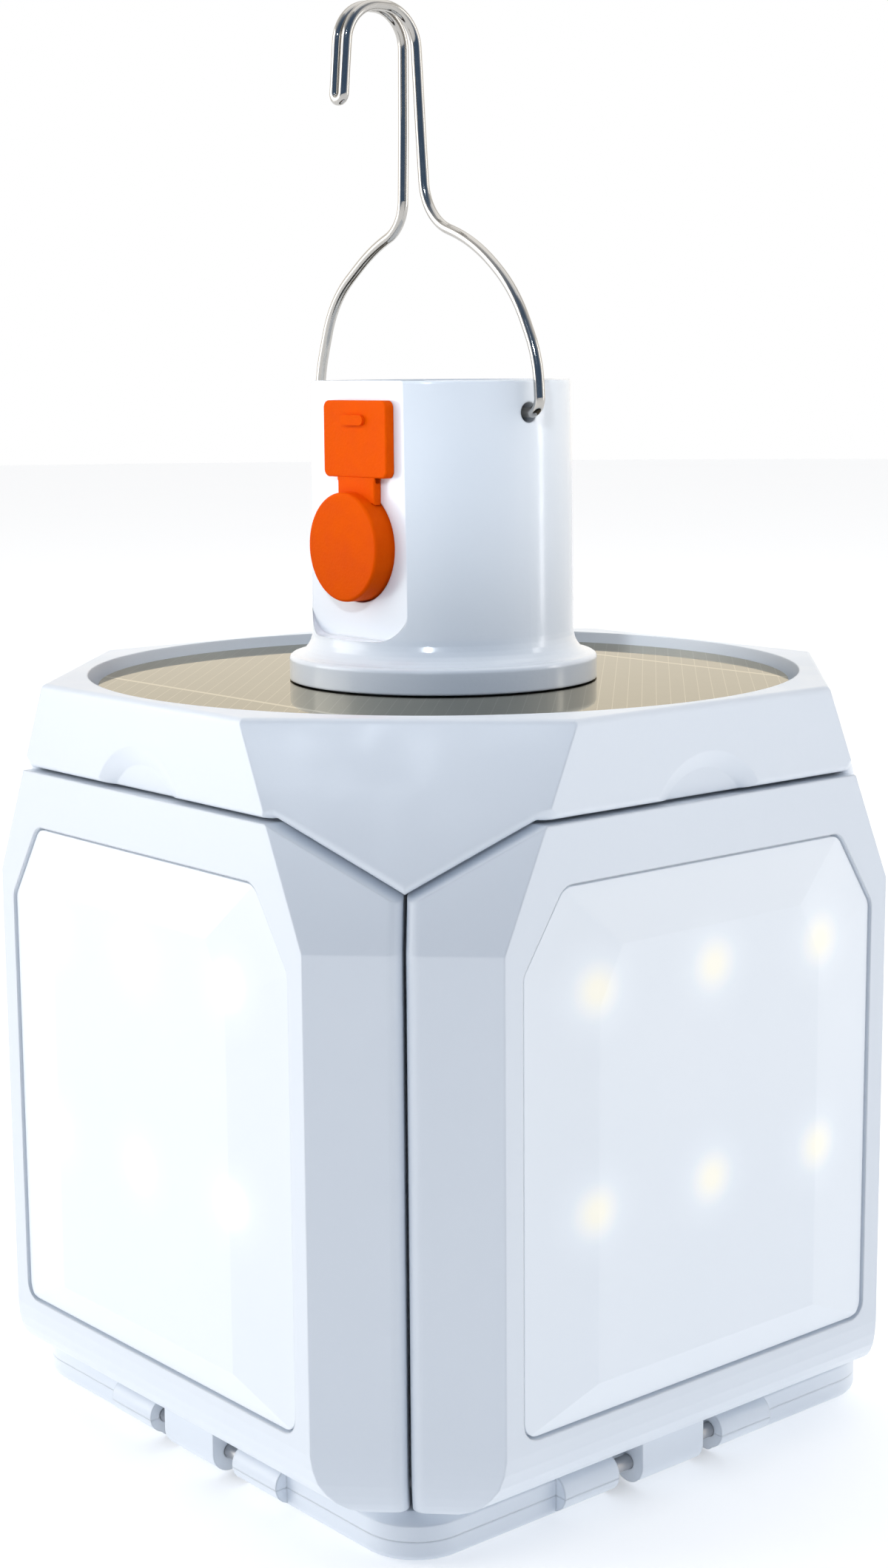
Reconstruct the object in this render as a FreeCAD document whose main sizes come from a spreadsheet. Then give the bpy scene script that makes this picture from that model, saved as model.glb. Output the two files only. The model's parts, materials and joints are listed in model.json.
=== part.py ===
import FreeCAD, Part
import math
import os
import Sketcher

# Folding camping lantern: a square body whose four sides are light panels hinged at the base, a
# capped top with a ring of solar cells round a neck, and a bent wire bail that ends in a hook.
# Millimetres, +Z up. The origin is the middle of the base's underside.
# The four sides are numbered by quarter turns about Z: right faces +X, back +Y, left -X, front -Y.

SIZES = {
    # body envelope
    "body_half": 57.6, "rim_z": 117.0, "rim_facet": 58.3, "break_z": 86.8, "facet": 68.0,
    "parting_z": 103.9, "vee_z": 93.4, "vee_half": 46.6, "parting_gap": 0.6,
    "wall": 2.2, "groove": 0.5, "groove_round": 1.9,
    # base
    "base_half": 49.2, "base_corner": 9.0, "base_top": 7.0, "base_split": 3.1, "pedestal_half": 42.4,
    "pedestal_top": 9.0, "base_window": 33.0, "base_recess": 0.8,
    # hinges
    "hinge_x": 48.4, "hinge_z": 3.4, "knuckle_r": 2.8, "knuckle_in": 10.8, "knuckle_out": 21.6,
    "tongue_half": 6.4, "tongue_r": 3.1, "pin_r": 1.1, "pin_clear": 0.05, "pin_half": 19.0,
    "knuckle_face": 50.4,
    # light panels
    "panel_back": 45.0, "panel_low": 7.6, "hollow_low": 12.0, "back_low": 10.2,
    "back_thick": 1.8, "lens_half": 35.3, "lens_low": 17.8, "lens_high": 94.9,
    "lens_break": 83.5, "lens_top_half": 27.9, "lens_gap": 0.4, "lens_recess": 0.35,
    "window_round": 2.8,
    "lens_rise": 1.5, "plateau_half": 22.3, "plateau_low": 23.4, "plateau_high": 85.6,
    "plateau_break": 77.5, "plateau_top_half": 18.0, "lens_thick": 1.6, "lens_lip": 0.9,
    "board_x": 50.0, "board_thick": 1.6, "led_side": 5.0, "led_tall": 1.4,
    "led_pitch": 22.7, "led_high": 79.8, "led_low": 48.4, "screw_low_y": 31.5, "screw_low": 14.2,
    "screw_high_y": 34.1, "screw_high": 92.6, "boss_r": 2.4,
    # screws
    "screw_r": 1.1, "screw_head_r": 2.1, "screw_head": 1.2,
    # core
    "core_half": 42.4, "core_wall": 2.0, "core_top": 104.2, "core_gap": 0.2,
    "battery_r": 9.2, "battery_long": 65.0, "battery_low": 22.0, "battery_y": 14.0,
    # cap and solar ring
    "recess_r": 55.2, "recess_floor": 113.4, "cap_skin": 2.0, "notch_r": 12.1, "notch_z": 98.5,
    "notch_deep": 1.4, "chassis_half": 54.9, "chassis_facet": 59.2, "chassis_low": 104.2,
    "chassis_thick": 2.0, "solar_r": 53.7, "solar_low": 113.5, "solar_board": 0.8,
    "solar_face": 1.1, "solar_hole_r": 23.2,
    # neck
    "neck_r": 20.0, "neck_low_r": 20.35, "neck_top": 161.4, "neck_bore": 17.6, "collar_r": 24.0,
    "collar_low": 115.6, "collar_high": 118.8, "collar_fillet": 123.2, "flat_y": 16.7,
    "flat_wall": 2.2, "flat_low": 122.8, "flat_half": 11.7, "flat_round": 5.0, "neck_foot": 106.4,
    "bail_hole_z": 156.6, "bail_hole_r": 1.55, "neck_lid": 2.4,
    # silicone pieces
    "button_r": 8.2, "button_z": 136.7, "button_x": 0.3, "button_face": 20.1, "button_bore": 8.5,
    "button_travel": 0.8, "flap_left": 6.1, "flap_right": 8.9, "flap_low": 147.1,
    "flap_high": 158.5, "flap_thick": 1.6, "strap_half": 4.4, "strap_x": 1.4, "strap_axis_z": 146.9,
    "strap_thick": 1.4, "plug_half": 4.7, "plug_low": 151.0, "plug_high": 154.2, "plug_deep": 1.8,
    # wire
    "wire_r": 0.82,
}

ROOT2 = math.sqrt(2)
DRAFT_TOP = 0.2         # the side faces lean in by this much at the rim
GROOVE_STEPS = 6        # flats that make up each rounded groove edge
FLARE_STEPS = 7         # cone bands in the curve over the neck's collar
# a panel's rounded foot: height above its lower edge, and how far the front face is set in
FOOT_ROUND = [(0.0, 6.0), (0.6, 4.4), (1.5, 3.1), (2.8, 1.9), (4.4, 0.9), (6.4, 0.3), (8.6, 0.0)]
FOOT_FACET = 0.3        # the corner facets are set in by this share of it, so they narrow to the foot
X_AXIS = FreeCAD.Vector(1, 0, 0)
Y_AXIS = FreeCAD.Vector(0, 1, 0)
Z_AXIS = FreeCAD.Vector(0, 0, 1)
ALONG = {
    "x": FreeCAD.Rotation(Y_AXIS, 90),
    "-x": FreeCAD.Rotation(Y_AXIS, -90),
    "y": FreeCAD.Rotation(X_AXIS, -90),
    "-y": FreeCAD.Rotation(X_AXIS, 90),
    "z": FreeCAD.Rotation(),
    "-z": FreeCAD.Rotation(X_AXIS, 180),
}
SIDES = ("right", "back", "left", "front")
CAP_POSTS = [(34.0, 22.0), (-34.0, 22.0), (-34.0, -22.0), (34.0, -22.0)]

doc = FreeCAD.newDocument("lantern")
sheet = doc.addObject("Spreadsheet::Sheet", "Sizes")
sub_parts = []


class Size:
    """A length that carries both its value and the sheet formula it comes from."""

    def __init__(self, value, formula):
        self.value = value
        self.formula = formula

    def __add__(self, other):
        return Size(self.value + number(other), f"({self.formula} + {formula(other)})")

    def __radd__(self, other):
        return Size(number(other) + self.value, f"({formula(other)} + {self.formula})")

    def __sub__(self, other):
        return Size(self.value - number(other), f"({self.formula} - {formula(other)})")

    def __rsub__(self, other):
        return Size(number(other) - self.value, f"({formula(other)} - {self.formula})")

    def __mul__(self, other):
        return Size(self.value * number(other), f"({self.formula} * {formula(other)})")

    __rmul__ = __mul__

    def __truediv__(self, other):
        return Size(self.value / number(other), f"({self.formula} / {formula(other)})")

    def __neg__(self):
        return Size(-self.value, f"(0 - {self.formula})")


def number(size):
    return size.value if isinstance(size, Size) else float(size)


def formula(size):
    return size.formula if isinstance(size, Size) else repr(float(size))


class Dims:
    """Every cell of the sheet as an attribute of the same name."""


def fill_sheet():
    dims = Dims()
    for row, (alias, value) in enumerate(SIZES.items(), start=1):
        sheet.set(f"A{row}", alias)
        sheet.set(f"B{row}", str(value))
        sheet.setAlias(f"B{row}", alias)
        setattr(dims, alias, Size(value, f"Sizes.{alias}"))
    doc.recompute()
    return dims


d = fill_sheet()


# ---- helpers -------------------------------------------------------------------------------

def bind(obj, prop, size):
    if isinstance(size, Size):
        obj.setExpression(prop, size.formula)
    else:
        setattr(obj, prop, size)


def turned(x, y, quarter):
    """A point's x and y after quarter turns about Z."""
    return ((x, y), (-y, x), (-x, -y), (y, -x))[quarter % 4]


def set_place(obj, point, rotation):
    base = FreeCAD.Vector(*[number(value) for value in point])
    obj.Placement = FreeCAD.Placement(base, rotation)
    for axis, value in zip("xyz", point):
        if isinstance(value, Size):
            obj.setExpression(f"Placement.Base.{axis}", value.formula)


def spin(quarter):
    return FreeCAD.Rotation(Z_AXIS, 90 * quarter)


def keep(obj, label):
    """Mark an object as a finished sub-part with its own name."""
    obj.Label = label
    sub_parts.append(obj)
    return obj


def box(name, low, size, quarter=0):
    made = doc.addObject("Part::Box", name)
    for prop, value in zip(("Length", "Width", "Height"), size):
        bind(made, prop, value)
    x, y = turned(low[0], low[1], quarter)
    set_place(made, (x, y, low[2]), spin(quarter))
    return made


def centred_box(name, centre, size, quarter=0):
    low = [middle - length / 2 for middle, length in zip(centre, size)]
    return box(name, low, size, quarter)


def cylinder(name, radius, height, at, along="z", quarter=0):
    made = doc.addObject("Part::Cylinder", name)
    bind(made, "Radius", radius)
    bind(made, "Height", height)
    x, y = turned(at[0], at[1], quarter)
    set_place(made, (x, y, at[2]), spin(quarter).multiply(ALONG[along]))
    return made


def cone(name, low_radius, high_radius, height, at, along="z", quarter=0):
    made = doc.addObject("Part::Cone", name)
    bind(made, "Radius1", low_radius)
    bind(made, "Radius2", high_radius)
    bind(made, "Height", height)
    x, y = turned(at[0], at[1], quarter)
    set_place(made, (x, y, at[2]), spin(quarter).multiply(ALONG[along]))
    return made


def cut(name, base, tool):
    made = doc.addObject("Part::Cut", name)
    made.Base = base
    made.Tool = tool
    return made


def group(kind, name, shapes):
    made = doc.addObject(kind, name)
    if kind == "Part::Compound":
        made.Links = shapes
    else:
        made.Shapes = shapes
    return made


def fuse(name, shapes):
    made = group("Part::MultiFuse", name, shapes)
    made.Refine = True
    return made


def common(name, shapes):
    return group("Part::MultiCommon", name, shapes)


def compound(name, shapes):
    return group("Part::Compound", name, shapes)


def new_body(name, quarter=0):
    body = doc.addObject("PartDesign::Body", name)
    body.Placement = FreeCAD.Placement(FreeCAD.Vector(), spin(quarter))
    return body


def new_sketch(body, plane, offset=0.0):
    """A sketch on one of the body's own origin planes, moved along that plane's normal."""
    role = {"xy": "XY_Plane", "xz": "XZ_Plane", "yz": "YZ_Plane"}[plane]
    support = [item for item in body.Origin.OriginFeatures if item.Role == role][0]
    sketch = body.newObject("Sketcher::SketchObject", f"{body.Name}_{plane}_sketch")
    sketch.AttachmentSupport = (support, [""])
    sketch.MapMode = "FlatFace"
    if isinstance(offset, Size):
        sketch.setExpression("AttachmentOffset.Base.z", offset.formula)
    else:
        sketch.AttachmentOffset = FreeCAD.Placement(FreeCAD.Vector(0, 0, offset), FreeCAD.Rotation())
    return sketch


def fix_point(sketch, geometry, end, point):
    """Tie a point to the sheet, or to a sketch axis where the distance is zero."""
    for kind, axis, value in (("DistanceX", -2, point[0]), ("DistanceY", -1, point[1])):
        if number(value) == 0:
            sketch.addConstraint(Sketcher.Constraint("PointOnObject", geometry, end, axis))
            continue
        index = sketch.addConstraint(
            Sketcher.Constraint(kind, -1, 1, geometry, end, number(value)))
        if isinstance(value, Size):
            sketch.setExpression(f"Constraints[{index}]", value.formula)


def add_polygon(sketch, points):
    first = sketch.GeometryCount
    count = len(points)
    corners = [FreeCAD.Vector(number(x), number(y), 0) for x, y in points]
    for index in range(count):
        sketch.addGeometry(Part.LineSegment(corners[index], corners[(index + 1) % count]), False)
    sketch.addConstraint([
        Sketcher.Constraint("Coincident", first + index, 2, first + (index + 1) % count, 1)
        for index in range(count)])
    for index, point in enumerate(points):
        fix_point(sketch, first + index, 1, point)


def add_circle(sketch, centre, radius):
    middle = FreeCAD.Vector(number(centre[0]), number(centre[1]), 0)
    index = sketch.addGeometry(Part.Circle(middle, Z_AXIS, number(radius)), False)
    fix_point(sketch, index, 3, centre)
    ring = sketch.addConstraint(Sketcher.Constraint("Radius", index, number(radius)))
    if isinstance(radius, Size):
        sketch.setExpression(f"Constraints[{ring}]", radius.formula)


def polygon_sketch(body, plane, points, offset=0.0):
    sketch = new_sketch(body, plane, offset)
    add_polygon(sketch, points)
    return sketch


def circle_sketch(body, plane, centres, radius, offset=0.0):
    sketch = new_sketch(body, plane, offset)
    for centre in centres:
        add_circle(sketch, centre, radius)
    return sketch


def pad(body, sketch, length, backwards=False):
    made = body.newObject("PartDesign::Pad", f"{body.Name}_pad")
    made.Profile = sketch
    made.Reversed = backwards
    bind(made, "Length", length)
    return made


def pocket(body, sketch, length, forwards=False):
    """Cut along the sketch's normal if forwards, against it otherwise."""
    made = body.newObject("PartDesign::Pocket", f"{body.Name}_pocket")
    made.Profile = sketch
    made.Reversed = forwards
    bind(made, "Length", length)
    return made


def loft(body, first, *others):
    """A solid with flat sides through outlines that have the same number of corners."""
    made = body.newObject("PartDesign::AdditiveLoft", f"{body.Name}_loft")
    made.Profile = first
    made.Sections = list(others)
    made.Ruled = True
    return made


def soften(body, kind, size, wanted):
    """Fillet or chamfer the tip's edges that the test wants."""
    doc.recompute()
    base = body.Tip
    names = [f"Edge{index + 1}" for index, edge in enumerate(base.Shape.Edges) if wanted(edge)]
    made = body.newObject(f"PartDesign::{kind}", f"{body.Name}_{kind.lower()}")
    made.Base = (base, names)
    if kind == "Fillet":
        made.Radius = size
    else:
        made.Size = size
    return made


def round_edges(name, base, radius, wanted):
    """Fillet the wanted edges of a shape that is no PartDesign body."""
    doc.recompute()
    made = doc.addObject("Part::Fillet", name)
    made.Base = base
    made.Edges = [(index + 1, radius, radius) for index, edge in enumerate(base.Shape.Edges)
                  if wanted(edge)]
    return made


def near(value, target, slack=0.02):
    return abs(value - number(target)) < slack


def middle_of(edge):
    return edge.valueAt((edge.FirstParameter + edge.LastParameter) / 2)


def direction_of(edge):
    first, last = edge.Vertexes[0].Point, edge.Vertexes[-1].Point
    span = last - first
    return span.normalize() if span.Length > 0 else span


def mirrored(points):
    """Right-hand outline points followed by their mirror images, in order round the shape."""
    return points + [(-x, y) for x, y in reversed(points)]


def cross_slot(name, at, along, quarter):
    """The cross recess of a screw whose head starts at the given point."""
    half, narrow, deep = 1.25, 0.28, 0.7
    bars = []
    for turn, (wide, tall) in enumerate(((half, narrow), (narrow, half))):
        sizes = {"x": (deep * 2, wide * 2, tall * 2), "z": (wide * 2, tall * 2, deep * 2)}[along]
        bars.append(centred_box(f"{name}_slot_{turn}", at, sizes, quarter))
    return fuse(f"{name}_cross", bars)


def screws(label, heads, along, shank, quarter=0):
    """A group of identical pan-head screws, each head on its given point."""
    made = []
    for index, (x, y, z) in enumerate(heads):
        name = f"{label}_{index}"
        head = cylinder(f"{name}_head", d.screw_head_r, d.screw_head, (x, y, z), along, quarter)
        shaft = cylinder(f"{name}_shank", d.screw_r, shank, (x, y, z), along, quarter)
        made.append(cut(name, fuse(f"{name}_solid", [head, shaft]), cross_slot(name, (x, y, z), along,
                                                                              quarter)))
    return keep(compound(f"{label}_group", made), label)


# ---- body envelope -------------------------------------------------------------------------

def octagon(half, facet):
    """A square outline with its corners cut at a plane distance of facet from the axis."""
    short = facet * ROOT2 - half
    return [(half, -short), (half, short), (short, half), (-short, half),
            (-half, short), (-half, -short), (-short, -half), (short, -half)]


def facet_at(z):
    """The corner planes' distance from the axis at a height over the break."""
    return d.facet - (d.facet - d.rim_facet) * (z - d.break_z) / (d.rim_z - d.break_z)


def parting_half():
    """Half the level run of the parting line: it turns down where the corner facets start."""
    lean = DRAFT_TOP * (d.parting_z - d.break_z) / (d.rim_z - d.break_z)
    return facet_at(d.parting_z) * ROOT2 - (d.body_half - lean)


def parting_drop():
    """How far the parting line falls for each millimetre past its level run."""
    return (d.parting_z - d.vee_z) / (d.vee_half - parting_half())


def cap_space(name, inset, low, high):
    """The body's outline between two heights, inset by a wall."""
    body = new_body(name)
    under = polygon_sketch(body, "xy", octagon(d.body_half - inset, d.facet - inset), low)
    pad(body, under, d.break_z - low)
    level = polygon_sketch(body, "xy", octagon(d.body_half - inset, d.facet - inset), d.break_z)
    top = octagon(d.body_half - DRAFT_TOP - inset, facet_at(high) - inset)
    upper = polygon_sketch(body, "xy", top, high)
    loft(body, level, upper)
    return body


def above_parting(name, quarter):
    """Everything over the parting line of one pair of sides, as a long bar."""
    body = new_body(name, quarter)
    reach = d.body_half + 12
    turn = parting_half()
    far = d.parting_z - parting_drop() * (reach - turn)
    outline = mirrored([(reach, far), (reach, d.rim_z + 5)])
    outline += [(-turn, d.parting_z), (turn, d.parting_z)]
    sketch = polygon_sketch(body, "yz", outline, -reach)
    pad(body, sketch, reach * 2)
    return body


def on_cap_foot(edge):
    """True for the cap's lower outer edges, along the parting line."""
    middle = middle_of(edge)
    side = max(abs(middle.x), abs(middle.y)) > number(d.body_half) - 0.6
    corner = (abs(middle.x) + abs(middle.y)) / ROOT2 > number(facet_at(middle.z)) - 0.6
    return (side or corner) and all(end.Point.z < number(d.parting_z) + 0.05
                                    for end in edge.Vertexes)


def make_cap():
    outer = cap_space("cap_outer", 0.0, d.vee_z - 10, d.rim_z)
    doc.recompute()
    soften(outer, "Fillet", 1.0, lambda edge: near(middle_of(edge).z, d.rim_z))
    inner = cap_space("cap_inner", d.wall, d.vee_z - 12, d.recess_floor - d.cap_skin)
    shell = cut("cap_shell", outer, inner)
    bars = [above_parting("bar_x", 0), above_parting("bar_y", 1)]
    posts = [cylinder(f"cap_post_{index}", 3.0, 5.4, (x, y, d.chassis_low + d.chassis_thick))
             for index, (x, y) in enumerate(CAP_POSTS)]
    skin = round_edges("cap_skin", common("cap_trimmed", [shell] + bars), 1.0, on_cap_foot)
    solid = fuse("cap_posted", [skin] + posts)
    recess = cylinder("cap_recess", d.recess_r, 10.0, (0.0, 0.0, d.recess_floor))
    hole = cylinder("cap_hole", d.neck_low_r + 0.4, 20.0, (0.0, 0.0, d.recess_floor - 10))
    cuts = [recess, hole]
    cuts += [cylinder(f"cap_pilot_{index}", d.screw_r + 0.02, 6.0, (x, y, d.chassis_low + 1))
             for index, (x, y) in enumerate(CAP_POSTS)]
    for quarter in range(4):
        cuts.append(cone(f"notch_{quarter}", d.notch_r - 3, d.notch_r + 1.2, d.notch_deep + 0.6,
                         (d.body_half - d.notch_deep, 0.0, d.notch_z), "x", quarter))
    tools = fuse("cap_cuts", cuts)
    return keep(cut("cap_solid", solid, tools), "cap")


# ---- base and hinges ------------------------------------------------------------------------

def rounded_plate(name, half, corner, low, high):
    """A square plate with round corners."""
    body = new_body(name)
    outline = [(half, -half), (half, half), (-half, half), (-half, -half)]
    pad(body, polygon_sketch(body, "xy", outline, low), high - low)
    soften(body, "Fillet", number(corner), lambda edge: near(abs(direction_of(edge).z), 1.0))
    return body


def hinge_bay(quarter):
    """The room in the base that the panel's tongue turns in, open outwards and upwards."""
    reach = 8.0
    inner = d.hinge_x - d.tongue_r - 1.2
    return box(f"bay_{quarter}", (inner, -d.knuckle_in, -1.0),
               (reach, d.knuckle_in * 2, d.base_top + 4), quarter)


def knuckles(part, quarter):
    """A pair of round-fronted knuckles, either over or under the base's split line."""
    made = []
    for side, start in (("a", -d.knuckle_out), ("b", d.knuckle_in)):
        long = d.knuckle_out - d.knuckle_in
        name = f"knuckle_{part}_{quarter}{side}"
        barrel = cylinder(f"{name}_barrel", d.knuckle_r, long, (d.hinge_x, start, d.hinge_z),
                          "y", quarter)
        face = box(f"{name}_face", (d.hinge_x - 3, start, d.hinge_z - 1.0),
                   (d.knuckle_face - d.hinge_x + 3, long, 2.6), quarter)
        root = box(f"{name}_root", (d.hinge_x - 5, start, d.hinge_z - d.knuckle_r),
                   (5.0, long, d.knuckle_r * 2), quarter)
        made.append(fuse(name, [barrel, face, root]))
    return made


def pin_bore(name, quarter):
    return cylinder(name, d.pin_r + d.pin_clear, (d.pin_half + 0.3) * 2,
                    (d.hinge_x, -d.pin_half - 0.3, d.hinge_z), "y", quarter)


def make_base():
    """Two plates that close on the hinge pins, with a round-cornered window between them."""
    plate = rounded_plate("base_plate", d.base_half, d.base_corner, 0.0, d.base_top)
    soften(plate, "Chamfer", 1.6, lambda edge: near(middle_of(edge).z, d.base_top))
    soften(plate, "Fillet", 1.2, lambda edge: near(middle_of(edge).z, 0.0))
    pedestal = rounded_plate("base_pedestal", d.pedestal_half, 6.0, d.base_top - 1, d.pedestal_top)
    joined = [plate, pedestal]
    for quarter in range(4):
        joined += knuckles("full", quarter)
    whole = fuse("base_whole", joined)
    cuts = [pin_bore(f"bore_{quarter}", quarter) for quarter in range(4)]
    cuts += [hinge_bay(quarter) for quarter in range(4)]
    cuts.append(rounded_plate("base_window_cut", d.base_window, 5.0, -1.0, d.base_split))
    hollow = cut("base_hollowed", whole, fuse("base_cuts", cuts))
    reach = d.base_half + 4
    lower_half = centred_box("lower_zone", (0.0, 0.0, d.base_split / 2 - 0.5),
                             (reach * 2, reach * 2, d.base_split + 1))
    room = rounded_plate("base_room", d.base_window + 2.5, 5.0, d.base_split, d.base_top - 0.2)
    frame = cut("base_upper", cut("base_upper_solid", hollow, lower_half), room)
    cover = common("base_lower", [hollow, lower_half])
    spots = [(39.0 * sx, 39.0 * sy) for sx, sy in ((1, 1), (-1, 1), (-1, -1), (1, -1))]
    sockets = []
    for index, (x, y) in enumerate(spots):
        sockets.append(cylinder(f"base_screw_hole_{index}", d.screw_r + 0.1, 7.2, (x, y, -1.0)))
        sockets.append(cylinder(f"base_screw_seat_{index}", d.screw_head_r + 0.3, 2.6, (x, y, -1.0)))
    holes = fuse("base_screw_holes", sockets)
    keep(cut("base_frame_solid", frame, holes), "base_frame")
    keep(cut("base_cover_solid", cover, holes), "base_cover")
    screws("base_screws", [(x, y, 0.4) for x, y in spots], "z", 5.4)


def make_base_light():
    low = d.base_recess
    lens = rounded_plate("base_lens_plate", d.base_window - d.lens_gap, 4.9, low, d.base_split)
    soften(lens, "Chamfer", 0.6, lambda edge: near(middle_of(edge).z, low))
    keep(lens, "base_lens")
    board = rounded_plate("base_board_plate", d.base_window + 2, 4.0, d.base_top - 1.9,
                          d.base_top - 0.4)
    keep(board, "base_board")
    spots = [(0, 0), (16, 0), (0, 16), (-16, 0), (0, -16)]
    chips = [centred_box(f"base_led_{index}", (float(x), float(y), d.base_top - 2.6),
                         (d.led_side, d.led_side, d.led_tall))
             for index, (x, y) in enumerate(spots)]
    keep(compound("base_led_group", chips), "base_leds")


# ---- light panels ---------------------------------------------------------------------------

def groove_round(facet):
    """The rounded upright edge beside the groove, from the mitre plane to the corner facet."""
    points = []
    for step in range(GROOVE_STEPS + 1):
        angle = math.radians(90 * step / GROOVE_STEPS)
        out = facet - d.groove_round * (1 - math.sin(angle))
        off = d.groove / 2 + d.groove_round * (1 - math.cos(angle))
        points.append(((out + off) / ROOT2, (out - off) / ROOT2))
    return points


def panel_plan(facet, inset):
    """A panel seen from above: mitred ends, half corner facets and the front face."""
    face = d.body_half - inset
    outer = facet - inset * FOOT_FACET
    half = [(d.panel_back, d.panel_back - d.groove / ROOT2)]
    half += groove_round(outer)
    half.append((face, outer * ROOT2 - face))
    return half + [(x, -y) for x, y in reversed(half)]


def window_outline(inset):
    """The light window: a tall rectangle with its two upper corners cut."""
    right = [(d.lens_half - inset, d.lens_low + inset),
             (d.lens_half - inset, d.lens_break - inset * 0.3),
             (d.lens_top_half - inset * 0.7, d.lens_high - inset)]
    return mirrored(right)


def on_window_corner(edge):
    """True for the short edges through the front wall at the window's corners."""
    middle = middle_of(edge)
    return (near(abs(direction_of(edge).x), 1.0) and number(d.body_half) - 3 < middle.x
            and abs(middle.y) < number(d.lens_half) + 0.5
            and number(d.lens_low) - 0.5 < middle.z < number(d.lens_high) + 0.5)


def plateau_outline():
    right = [(d.plateau_half, d.plateau_low), (d.plateau_half, d.plateau_break),
             (d.plateau_top_half, d.plateau_high)]
    return mirrored(right)


def screw_spots():
    return [(y * side, z) for side in (1, -1)
            for y, z in ((d.screw_low_y, d.screw_low), (d.screw_high_y, d.screw_high))]


def make_panel_frame(side, quarter):
    body = new_body(f"{side}_frame", quarter)
    crown = d.parting_z + 0.4
    levels = [(d.panel_low + up, d.facet, inset) for up, inset in FOOT_ROUND]
    levels += [(d.break_z, d.facet, 0.0), (crown, facet_at(crown), 0.0)]
    loft(body, *[polygon_sketch(body, "xy", panel_plan(facet, inset), z)
                 for z, facet, inset in levels])

    # the top follows the parting line, a gap below the cap
    reach = d.body_half
    turn = parting_half()
    top = d.parting_z - d.parting_gap
    far = top - parting_drop() * (reach - turn)
    trim = [(reach, far), (reach, d.parting_z + 8), (-reach, d.parting_z + 8), (-reach, far),
            (-turn, top), (turn, top)]
    pocket(body, polygon_sketch(body, "yz", trim, d.panel_back - 5), 30.0, True)

    # hollow from the back, deep in the middle and shallow beside the corner facets
    inner = [(33.9, d.hollow_low), (36.6, d.hollow_low + 3), (36.6, 84.6),
             (29.4, 97.0), (29.4, top - d.wall)]
    pocket(body, polygon_sketch(body, "yz", mirrored(inner), d.panel_back),
           d.body_half - d.wall - d.panel_back, True)
    wings = [(42.2, d.hollow_low + 1), (42.2, 82.0)]
    pocket(body, polygon_sketch(body, "yz", mirrored(wings), d.panel_back), 5.6, True)
    pocket(body, polygon_sketch(body, "yz", window_outline(0.0), d.body_half - 4), 8.0, True)
    soften(body, "Fillet", number(d.window_round), on_window_corner)

    # screw posts
    posts = screw_spots()
    pad(body, circle_sketch(body, "yz", posts, d.boss_r, d.panel_back),
        d.body_half - d.wall - d.panel_back + 0.1)
    pocket(body, circle_sketch(body, "yz", posts, d.screw_r + 0.02, d.panel_back), 7.0, True)

    # hinge tongue
    tongue_low = d.hinge_z
    pad(body, polygon_sketch(body, "xz", [
        (d.hinge_x - d.tongue_r, tongue_low), (d.hinge_x + d.tongue_r, tongue_low),
        (d.hinge_x + d.tongue_r, d.panel_low + 2), (d.hinge_x - d.tongue_r, d.panel_low + 2)],
        -d.tongue_half), d.tongue_half * 2)
    pad(body, circle_sketch(body, "xz", [(d.hinge_x, d.hinge_z)], d.tongue_r, -d.tongue_half),
        d.tongue_half * 2)
    pocket(body, circle_sketch(body, "xz", [(d.hinge_x, d.hinge_z)], d.pin_r + d.pin_clear,
                               -d.tongue_half - 1), d.tongue_half * 2 + 2, True)
    return keep(body, f"{side}_frame")


def make_lens(side, quarter):
    """A clear window with a raised middle, its lip caught behind the frame's front wall."""
    body = new_body(f"{side}_lens_whole", quarter)
    face = d.body_half - d.lens_recess
    back = d.body_half - d.wall - 0.1
    lip = window_outline(-d.lens_lip)
    pad(body, polygon_sketch(body, "yz", lip, back - d.lens_thick), d.lens_thick)
    pad(body, polygon_sketch(body, "yz", window_outline(d.lens_gap), back - 0.1), face - back + 0.1)
    low = polygon_sketch(body, "yz", window_outline(d.lens_gap), face)
    high = polygon_sketch(body, "yz", plateau_outline(), face + d.lens_rise)
    loft(body, low, high)
    hollow = window_outline(d.lens_gap + d.lens_thick)
    pocket(body, polygon_sketch(body, "yz", hollow, back - d.lens_thick - 1),
           face - back + d.lens_thick + 1 - d.lens_thick + 0.4, True)

    # the same outline with round corners trims the part that fills the window
    front = new_body(f"{side}_lens_front", quarter)
    pad(front, polygon_sketch(front, "yz", window_outline(d.lens_gap), back - 0.1), 6.0)
    soften(front, "Fillet", number(d.window_round - d.lens_gap),
           lambda edge: near(abs(direction_of(edge).x), 1.0))
    rear = new_body(f"{side}_lens_rear", quarter)
    pad(rear, polygon_sketch(rear, "yz", lip, back - d.lens_thick - 1), d.lens_thick + 1)
    zone = fuse(f"{side}_lens_zone", [front, rear])
    return keep(common(f"{side}_lens_solid", [body, zone]), f"{side}_lens")


def make_panel_inside(side, quarter):
    board = box(f"{side}_board_plate", (d.board_x, -28.6, 19.0), (d.board_thick, 57.2, 66.0), quarter)
    keep(board, f"{side}_board")
    spots = [(column * d.led_pitch, z) for column in (-1, 0, 1) for z in (d.led_low, d.led_high)]
    chips = [centred_box(f"{side}_led_{index}",
                         (d.board_x + d.board_thick + d.led_tall / 2, y, z),
                         (d.led_tall, d.led_side, d.led_side), quarter)
             for index, (y, z) in enumerate(spots)]
    keep(compound(f"{side}_led_group", chips), f"{side}_leds")


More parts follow.
